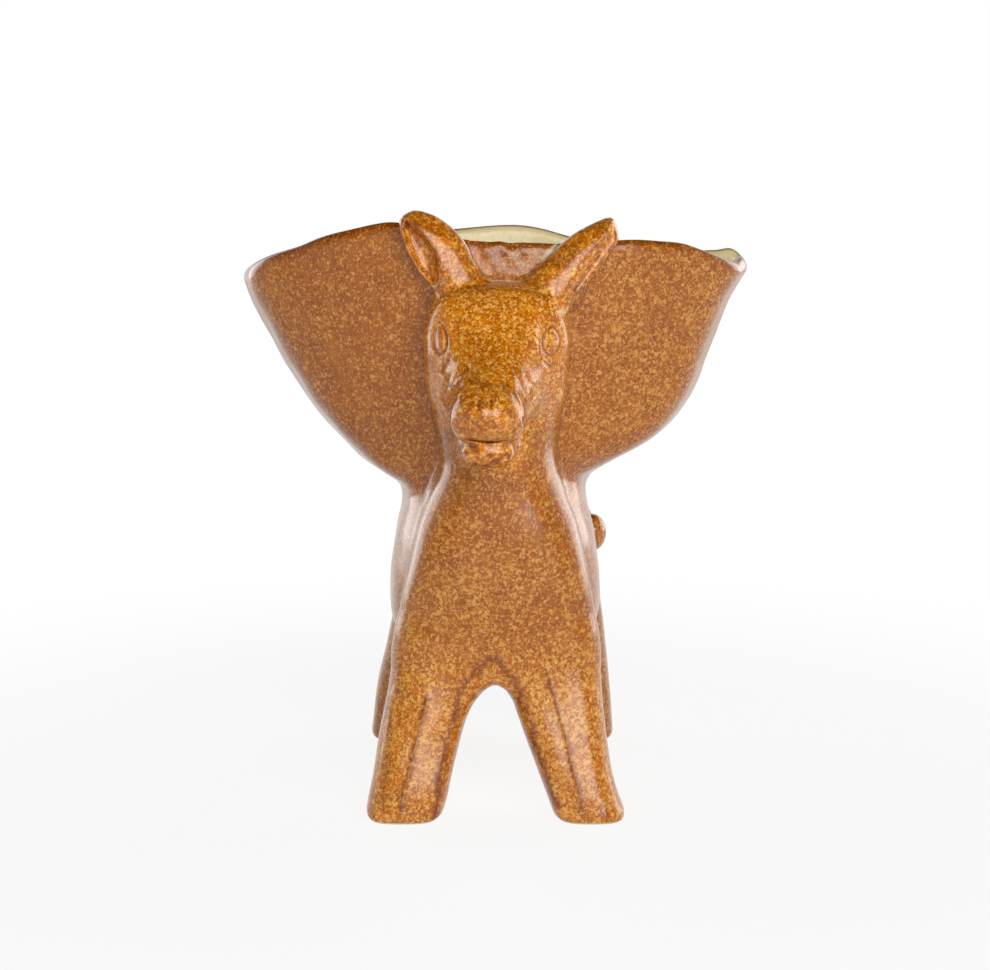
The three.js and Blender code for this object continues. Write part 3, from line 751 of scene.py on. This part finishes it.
def ownership(spots):
    """How far each point is from each piece's own form, one column per piece."""
    p = x, y, z = tuple(spots.T)
    own = lumps_of_clay(p)
    for name in LEGS:
        own[name] = np.maximum(own[name], z - LEG_TOP)
    own["neck"] = np.maximum(own["chest_and_neck"], LEG_TOP - z)
    own["body"] = own["barrel"]
    hollow = bowl_hollow(p)
    own["bowl"] = np.maximum(bowl_outside(p), -hollow) - FAR * np.clip((2.5 - hollow) / 1.5, 0, 1)
    for name, line in (("left_eye", LEFT_EYE), ("right_eye", RIGHT_EYE)):
        own[name] = np.where(y < -38, to_outline(x, z, line) - 0.25, FAR)
    return np.stack([own[name] for name in ORDER], 1)


def cut_skin(spots, far, faces, share):
    """Cuts triangles along the zero line of a number per point. Returns the points and both sets of triangles."""
    inside = share < 0
    share = np.where(inside, np.minimum(share, -CUT_OFF), np.maximum(share, CUT_OFF))
    count = inside[faces].sum(axis=1)
    crossed = (count == 1) | (count == 2)
    mixed = faces[crossed]
    lone = inside[mixed] == (count[crossed] == 1)[:, None]
    turn = np.argmax(lone, axis=1)
    a, b, c = (mixed[np.arange(len(mixed)), (turn + i) % 3] for i in range(3))
    sides = np.sort(np.concatenate([np.stack([a, b], 1), np.stack([a, c], 1)]), axis=1)
    unique, place = np.unique(sides, axis=0, return_inverse=True)
    low, high = unique.T
    t = (share[low] / (share[low] - share[high]))[:, None]
    fresh, fresh_far = (v[low] * (1 - t) + v[high] * t for v in (spots, far))
    ab, ac = len(spots) + place.ravel().reshape(2, -1)
    tip = np.stack([a, ab, ac], 1)
    rest = np.concatenate([np.stack([ab, b, c], 1), np.stack([ab, c, ac], 1)])
    tip_in = inside[a]
    rest_in = np.tile(~tip_in, 2)
    within = np.concatenate([faces[count == 3], tip[tip_in], rest[rest_in]])
    without = np.concatenate([faces[count == 0], tip[~tip_in], rest[~rest_in]])
    return np.concatenate([spots, fresh]), np.concatenate([far, fresh_far]), within, without


skins = {}
left_over = triangles
far = ownership(points)
for number, name in enumerate(ORDER[:-1]):
    share = far[:, number] - far[:, number + 1:].min(axis=1)
    points, far, skins[name], left_over = cut_skin(points, far, left_over, share)
skins[ORDER[-1]] = left_over
print({name: len(skin) for name, skin in skins.items()})

# %% [markdown]
# A piece cut out of a skin is open along its cut. So that each is a closed solid of its own, every open
# loop gets a lid: rings that close in on the loop's middle. A flat lid would stick out of the clay where the
# loop runs through a valley, so the points of the rings are sunk until they lie under the surface. The bowl's
# own lid would cross its hollow, so its points go forward and down until they lie in the wall or the floor.

# %% Close each piece with lids
def open_loops(faces):
    """The open edges of a skin, chained into loops of points."""
    sides = faces[:, [[0, 1], [1, 2], [2, 0]]].reshape(-1, 2)
    span = int(faces.max()) + 1
    alone = ~np.isin(sides[:, 0] * span + sides[:, 1], sides[:, 1] * span + sides[:, 0])
    following = {}
    for start, end in sides[alone].tolist():
        following.setdefault(start, []).append(end)
    loops = []
    while following:
        loop = [next(iter(following))]
        while loop[-1] in following:
            ends = following[loop[-1]]
            step = ends.pop()
            if not ends:
                del following[loop[-1]]
            if step == loop[0]:
                break
            loop.append(step)
        loops.append(loop)
    return loops


def sink(spots, depth, rounds=8, most=2.0):
    """Moves points down the field's slope until they are this deep in the clay, or nearly."""
    for _ in range(rounds):
        value, slope = slope_of(clay, spots)
        steep = np.maximum((slope * slope).sum(axis=1), 0.1)
        spots = spots - np.clip(np.maximum(value + depth, 0) / steep, 0, most)[:, None] * slope
    return spots


FORWARD_AND_DOWN = np.array([0.0, -0.6, -0.8])
LID_RINGS = (0.97, 0.85, 0.7, 0.55, 0.4, 0.25, 0.1)
LID_DEPTH = 2.0


def into_wall(spots, depth, rounds=40, most=4.0):
    """Moves points to this depth under the outside of the bowl's front wall or floor."""
    for _ in range(rounds):
        value, slope = slope_of(bowl_outside, spots)
        gap = (value + depth)[:, None]
        steep = np.maximum((slope * slope).sum(axis=1), 0.25)[:, None]
        back_in, onward = np.minimum(gap / steep, most) * slope, np.maximum(gap, -most) * FORWARD_AND_DOWN
        spots = spots - np.where(gap > 0, back_in, onward)
    return spots


def lid(loop, first, settle_lid):
    """Points and triangles that close one loop. New points are numbered from first."""
    edge = points[loop]
    middle = edge.mean(axis=0)
    size = len(loop)
    rings, faces, previous = [], [], np.array(loop)
    for share in LID_RINGS:
        rings.append(middle + (edge - middle) * share)
        current = first + np.arange(size) + size * (len(rings) - 1)
        after, before = np.roll(current, -1), np.roll(previous, -1)
        faces += [np.stack([before, previous, current], 1), np.stack([before, current, after], 1)]
        previous = current
    tip = np.full(size, first + size * len(rings))
    faces.append(np.stack([np.roll(previous, -1), previous, tip], 1))
    return settle_lid(np.concatenate(rings + [middle[None, :]]), LID_DEPTH), np.concatenate(faces)


def closed_piece(name):
    """The skin of a piece with its lids: its points and triangles."""
    spots, faces = points, skins[name]
    for loop in open_loops(faces):
        more, lid_faces = lid(loop, len(spots), into_wall if name == "bowl" else sink)
        spots, faces = np.concatenate([spots, more]), np.concatenate([faces, lid_faces])
    used, place = np.unique(faces, return_inverse=True)
    return spots[used], place.reshape(-1, 3)


# %% [markdown]
# ## What the glaze does where
# Glaze isn't one colour. It runs thin and dark over the rim, pools in creases, drips down the front legs,
# goes a lighter gold low on the front legs and cream inside the bowl, and leaves a bare line at the soles.
# On the head and ears the same lighter gold is painted light: the rust glaze brightened where they face up
# to the light. Where that
# happens is worked out from the clay and kept as a number per point. The shader reads these numbers, and
# adds the speckle itself.

# %% Glaze numbers per point
# A thin cream-coloured line on the near wall beside the right ear.
CREAM_SLIVER = ((16, 189.3), (17.7, 191.3), (19.4, 193.2), (20.4, 194))


def hollowness(spots, reach=1.3):
    """How sharply the surface is hollowed, per millimetre: the field's mean over a small cross, above its middle."""
    ways = reach * np.concatenate([np.eye(3), -np.eye(3)])
    around = sum(clay(tuple((spots + way).T)) for way in ways)
    return (len(ways) * clay(tuple(spots.T)) - around) / reach ** 2


def glaze_numbers(spots):
    p = x, y, z = tuple(spots.T)
    outside = boat(p)
    rim = rim_height(x, y)
    in_bowl = step_up(-outside, 3.3, 4.6) * step_up(z, 110, 112)
    # The bowl's cream also runs along that thin line beside the right ear.
    sliver = to_line(x, z, CREAM_SLIVER)
    in_bowl = np.maximum(in_bowl, 0.8 * step_up(-sliver, -0.9, -0.3) * (y > -37) * (y < 0))
    run = 3.0 + 1.6 * np.sin(0.55 * x + 1.0) * np.sin(0.23 * x + 2.0) + 2.0 * np.exp(-((x - 2) / 14) ** 2)
    at_rim = step_up((z - rim) / run, -1.3, -0.4) * step_up(-np.abs(outside + 2.2), -4.0, -2.4) * step_up(z, 150, 160)
    ears, in_front = np.minimum(left_ear(p), right_ear(p)), step_up(-y, 27, 34)
    # The lighter gold share: on the head and ears it is painted light, the rust glaze brightened where they face up
    # to the light; low on the front legs it is a lighter glaze.
    honey_and_lit = np.maximum(step_up(8 - np.minimum(head(p), lower_jaw(p)), 2, 8), step_up(6 - ears, 1, 6))
    honey_and_lit = np.maximum(honey_and_lit * in_front, 0.65 * (1 - step_up(z, 36, 76)) * step_up(-y, 8, 16))
    hollow = hollowness(spots)
    drip = np.zeros(len(spots))
    for line, width, strength in DRIPS:
        across = to_line(x + 0.35 * np.sin(0.45 * z + line[0][0]), z, line)
        drip = np.maximum(drip, strength * np.exp(-((across / width) ** 2)) * step_up(-y, 34, 40))
    muzzle_and_chin = step_up(-y, 61, 67) * (1 + step_up(-z, -134, -131))
    soak = np.maximum(muzzle_and_chin, step_up(4 - ears, 1, 4) * in_front)
    on_bowl = step_up(z, 100, 118)
    dense = step_up(x, -60, 60) * on_bowl + (1 - on_bowl) + 0.5 * (1 - step_up(z, 40, 64))
    return dict(in_bowl=in_bowl, at_rim=at_rim, honey_and_lit=honey_and_lit, drip=drip, dense=dense, soak=soak,
                pool=step_up(hollow, 0.15, 0.8), edge=step_up(-hollow, 0.35, 0.9), bare=step_up(-z, -1.3, -0.7))


# %% [markdown]
# Each piece becomes a mesh with the clay's own normals and the glaze numbers on its points. It rides on the
# one body that the fired figure is, stands in for its CAD node and takes that node's material slot.

# %% Build the pieces
collection = bpy.data.collections.new("donkey_bowl")
scene.collection.children.link(collection)


def build_piece(name):
    spots, faces = closed_piece(name)
    normals = normals_of(spots)
    mesh = bpy.data.meshes.new(name + "_clay")
    mesh.from_pydata((spots / 1000).tolist(), [], faces.tolist(), shade_flat=False)
    mesh.normals_split_custom_set_from_vertices(normals.tolist())
    for number, values in glaze_numbers(spots).items():
        mesh.attributes.new(number, "FLOAT", "POINT").data.foreach_set("value", values.astype(np.float32))
    piece = bpy.data.objects.new(name + "_clay", mesh)
    collection.objects.link(piece)
    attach(piece, "root")
    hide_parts(name)
    return piece


pieces = {name: build_piece(name) for name in skins}
print({name: len(piece.data.polygons) for name, piece in pieces.items()})

# %% [markdown]
# ## Shader arithmetic
# A node tree is easier to read as arithmetic. This small class wraps one socket: plus, minus and times add
# Math nodes, mix adds a colour Mix, and add makes any other node.

# %% Sockets as numbers
class Wire:
    def __init__(self, tree, socket=None):
        self.tree, self.socket = tree, socket

    def add(self, kind, settings=None, sockets=None, output=0):
        """Any node: its type, its settings, which are set first, and its sockets' values or links."""
        node = self.tree.nodes.new("ShaderNode" + kind)
        for name, value in (settings or {}).items():
            setattr(node, name, value)
        for name, value in (sockets or {}).items():
            if isinstance(value, Wire):
                self.tree.links.new(value.socket, node.inputs[name])
            else:
                node.inputs[name].default_value = value
        return Wire(self.tree, node.outputs[output])

    def math(self, operation, left, right):
        return self.add("Math", {"operation": operation}, {0: left, 1: right})

    def __add__(self, other):
        return self.math("ADD", self, other)

    def __sub__(self, other):
        return self.math("SUBTRACT", self, other)

    def __rsub__(self, other):
        return self.math("SUBTRACT", other, self)

    def __mul__(self, other):
        return self.math("MULTIPLY", self, other)

    __radd__ = __add__
    __rmul__ = __mul__

    def ramp(self, start, end):
        """0 before start, 1 after end, smooth between."""
        sockets = {"Value": self, "From Min": start, "From Max": end}
        return self.add("MapRange", {"interpolation_type": "SMOOTHSTEP"}, sockets)

    def capped(self):
        """At most 1."""
        return self.math("MINIMUM", self, 1.0)

    def mix(self, first, second):
        """This socket as the share of the second colour in the first."""
        return self.add("Mix", {"data_type": "RGBA"}, {0: self, 6: first, 7: second}, output=2)


def srgb(*shown):
    """A colour as a screen shows it, 0 to 255, turned into the linear one that a shader takes."""
    part = np.array(shown) / 255
    linear = np.where(part <= 0.04045, part / 12.92, ((part + 0.055) / 1.055) ** 2.4)
    return (*linear.tolist(), 1.0)


# %% [markdown]
# ## Speckled glaze
# The glaze is an iron one over stoneware: a rust-brown ground that breaks into tan flecks of a millimetre
# or two. A Voronoi texture gives one fleck per cell, so their size and spacing can be set, and fine noise
# stirs their edges, so that none is round. Slower noise moves the level above which a cell shows its fleck,
# so that they gather in drifts. The three slots share one recipe, since one glaze runs over all the pieces.
# They differ in gloss: the amber pools are the wettest.

# %% Glaze
RUST, RUST_DARK, TAN = srgb(172, 96, 10), srgb(144, 71, 3), srgb(216, 155, 72)
# These are the rust colours made lighter. On the head and ears they are painted light, for faces turned up to the
# light; low on the front legs they are a lighter glaze.
HONEY_AND_LIT, HONEY_AND_LIT_DARK, GOLD_AND_LIT = srgb(216, 128, 10), srgb(172, 88, 2), srgb(250, 192, 98)
AMBER, RUNNY, BARE = srgb(122, 52, 2), srgb(128, 54, 0), srgb(236, 208, 160)
CREAM, CREAM_DARK = srgb(238, 221, 170), srgb(196, 178, 112)


def glaze(name, roughness):
    material = bpy.data.materials.new(name)
    material.use_nodes = True
    tree = material.node_tree
    shader = tree.nodes["Principled BSDF"]
    start = Wire(tree)
    place = start.add("TexCoord", output=3)

    def noise(scale, detail, rough):
        return start.add("TexNoise", None, {"Vector": place, "Scale": scale, "Detail": detail, "Roughness": rough})

    def number(attribute):
        return start.add("Attribute", {"attribute_name": attribute}, output=2)

    honey_and_lit = number("honey_and_lit")
    drift, fine, cloud = noise(50, 2, 0.5), noise(1250, 2, 0.5), noise(150, 3, 0.6)
    stir = start.add("TexNoise", None, {"Vector": place, "Scale": 900, "Detail": 2}, output="Color")
    stir = start.add("VectorMath", {"operation": "SCALE"}, {0: stir, "Scale": 0.0022})
    stirred = start.add("VectorMath", {"operation": "ADD"}, {0: place, 1: stir})

    def specks(scale, level, size):
        """Specks of about one per cell, so many cells to the metre, each of its own strength above the level."""
        chance = start.add("TexVoronoi", None, {"Vector": stirred, "Scale": scale}, output="Color")
        middle = start.add("TexVoronoi", None, {"Vector": stirred, "Scale": scale}, output="Distance")
        return (chance - level).ramp(0, 0.3) * (size - middle).ramp(0, 0.25)

    level = 0.45 - 0.13 * number("dense") - 0.4 * (drift - 0.5)
    fleck = (specks(1120, level, 0.64) * 0.75 + specks(620, level + 0.2, 0.6) * 0.8).capped()
    dark = (fine - 0.5 + (cloud - 0.5) * 0.5).ramp(-0.12, 0.12)
    # The lighter gold colours: painted light on the head and ears, a lighter glaze low on the front legs.
    ground = dark.mix(honey_and_lit.mix(RUST, HONEY_AND_LIT), honey_and_lit.mix(RUST_DARK, HONEY_AND_LIT_DARK))
    colour = (fleck * 0.9).mix(ground, honey_and_lit.mix(TAN, GOLD_AND_LIT))
    drip = number("drip") * (1 - fleck * 0.4) * (0.75 + 0.25 * (cloud - 0.5).ramp(-0.1, 0.1))
    colour = drip.mix(colour, RUNNY)
    soaked = number("soak") * (noise(300, 3, 0.55) - 0.5).ramp(-0.07, 0.11)
    wet = soaked * 0.45 + number("pool") * 0.6 + number("edge") * 0.35
    wet = wet + number("at_rim") * 0.75 * fine.ramp(0.25, 0.6)
    colour = wet.capped().mix(colour, AMBER)
    cream = (fleck * 0.25).mix(CREAM, CREAM_DARK)
    colour = number("in_bowl").mix(colour, cream)
    colour = number("bare").mix(colour, BARE)
    tree.links.new(colour.socket, shader.inputs["Base Color"])
    rough = roughness + 0.05 * fleck + 0.05 * cloud + 0.1 * drip
    tree.links.new(rough.socket, shader.inputs["Roughness"])
    bump = start.add("Bump", None, {"Strength": 0.1, "Distance": 0.0006, "Height": cloud})
    tree.links.new(bump.socket, shader.inputs["Normal"])
    shader.inputs["IOR"].default_value = 1.5
    return material


roughnesses = {"rust_glaze": 0.17, "honey_glaze": 0.12, "amber_glaze": 0.1}
glazes = {name: glaze(name, roughness) for name, roughness in roughnesses.items()}
for name, piece in pieces.items():
    piece.data.materials.append(glazes[SLOTS[name]])
print("Glazes:", list(glazes))

# %% [markdown]
# ## Floor
# The photograph is a plain product shot, white all round. The floor is a pale sheet that catches the shadow
# and fades to white away from the figure, but only as the camera and the mirroring glaze see it.

# %% Floor
FLOOR_REACH = 4.0


def floor_sheet():
    mesh = bpy.data.meshes.new("floor_sheet")
    corners = [(FLOOR_REACH * x, FLOOR_REACH * y, 0) for x, y in ((-1, -1), (1, -1), (1, 1), (-1, 1))]
    mesh.from_pydata(corners, [], [(0, 1, 2, 3)])
    sheet = bpy.data.objects.new("floor_sheet", mesh)
    material = bpy.data.materials.new("floor_paper")
    material.use_nodes = True
    tree = material.node_tree
    start = Wire(tree)
    paper = start.add("BsdfDiffuse", None, {"Color": (0.92, 0.92, 0.92, 1)})
    white = start.add("Emission", None, {"Color": (1, 1, 1, 1), "Strength": 1})
    away = start.add("VectorMath", {"operation": "LENGTH"}, {0: start.add("TexCoord", output=3)}, output=1)
    shown = start.add("LightPath", output="Is Camera Ray") + start.add("LightPath", output="Is Glossy Ray")
    far_off = (0.88 + 0.12 * away.ramp(0.16, 0.42)) * shown.capped()
    surface = start.add("MixShader", None, {0: far_off, 1: paper, 2: white})
    tree.links.new(surface.socket, tree.nodes["Material Output"].inputs["Surface"])
    mesh.materials.append(material)
    scene.collection.objects.link(sheet)


floor_sheet()
print("Floor sheet", 2 * FLOOR_REACH, "m wide")

# %% [markdown]
# ## Light
# One large soft lamp stands in front, right of the camera and down to the floor, and the fronts of the legs
# and the ears mirror it. Two panels behind the figure draw the pale edges of the bowl and the chest. The world
# is white to the camera, and for all else a room with white walls and a dark ceiling, which keeps the forehead
# clear of reflections.

# %% World and lamps
LAMP_TARGET = Vector((0, 0, 0.1))


def white_world(fill, dim):
    """White to the camera, and for all else a room that is dimmer in front."""
    world = bpy.data.worlds.new("white_sweep")
    scene.world = world
    world.use_nodes = True
    tree = world.node_tree
    start = Wire(tree)
    seen = start.add("LightPath", output="Is Camera Ray")
    mirrored = start.add("LightPath", output="Is Glossy Ray")
    way = start.add("TexCoord", output=0)
    back, up = (start.add("SeparateXYZ", None, {0: way}, output=axis) for axis in (1, 2))
    room = (0.45 + 0.55 * back.ramp(-0.5, 0.1)) * (1 - (1 - dim) * up.ramp(0.3, 0.7))
    strength = seen + (1 - seen) * room * (fill + (1 - fill) * mirrored)
    background = tree.nodes["Background"]
    background.inputs["Color"].default_value = (1, 1, 1, 1)
    tree.links.new(strength.socket, background.inputs["Strength"])


def soft_lamp(name, place, width, height, power):
    """A rectangular lamp that faces the figure."""
    lamp = bpy.data.lights.new(name, "AREA")
    lamp.shape = "RECTANGLE"
    lamp.size, lamp.size_y, lamp.energy = width, height, power
    holder = bpy.data.objects.new(name, lamp)
    holder.location = place
    holder.rotation_euler = (LAMP_TARGET - Vector(place)).to_track_quat("-Z", "Y").to_euler()
    scene.collection.objects.link(holder)


white_world(fill=0.35, dim=0.03)
soft_lamp("front_lamp", (0.33, -1.45, 0.62), 1.3, 1.1, 21)
soft_lamp("left_panel", (-0.8, 0.6, 0.3), 0.8, 0.8, 5)
soft_lamp("right_panel", (0.8, 0.6, 0.3), 0.8, 0.8, 5)
print("Lamps:", [lamp.name for lamp in bpy.data.lights])

# %% [markdown]
# ## Camera
# The camera was solved from the two pairs of soles and the ears: 0.79 m in front of the middle, 0.23 m up,
# tilted 8.7 degrees down. Its focal length of 2260 pixels in an image 990 pixels wide is 82 mm on a 36 mm
# sensor.

# %% Camera
SENSOR_MM, FOCAL_PIXELS, PHOTO_PIXELS, TILT = 36.0, 2260, 990, 8.7
camera = bpy.data.objects.new("camera", bpy.data.cameras.new("camera"))
camera.data.sensor_fit = "HORIZONTAL"
camera.data.sensor_width = SENSOR_MM
camera.data.lens = FOCAL_PIXELS / PHOTO_PIXELS * SENSOR_MM
camera.location = (0, -0.78966, 0.229)
camera.rotation_euler = (math.radians(90 - TILT), 0, 0)
scene.collection.objects.link(camera)
bpy.context.scene.camera = camera
bpy.context.scene.view_settings.view_transform = "Standard"
print("Camera with a lens of", round(camera.data.lens, 1), "mm")
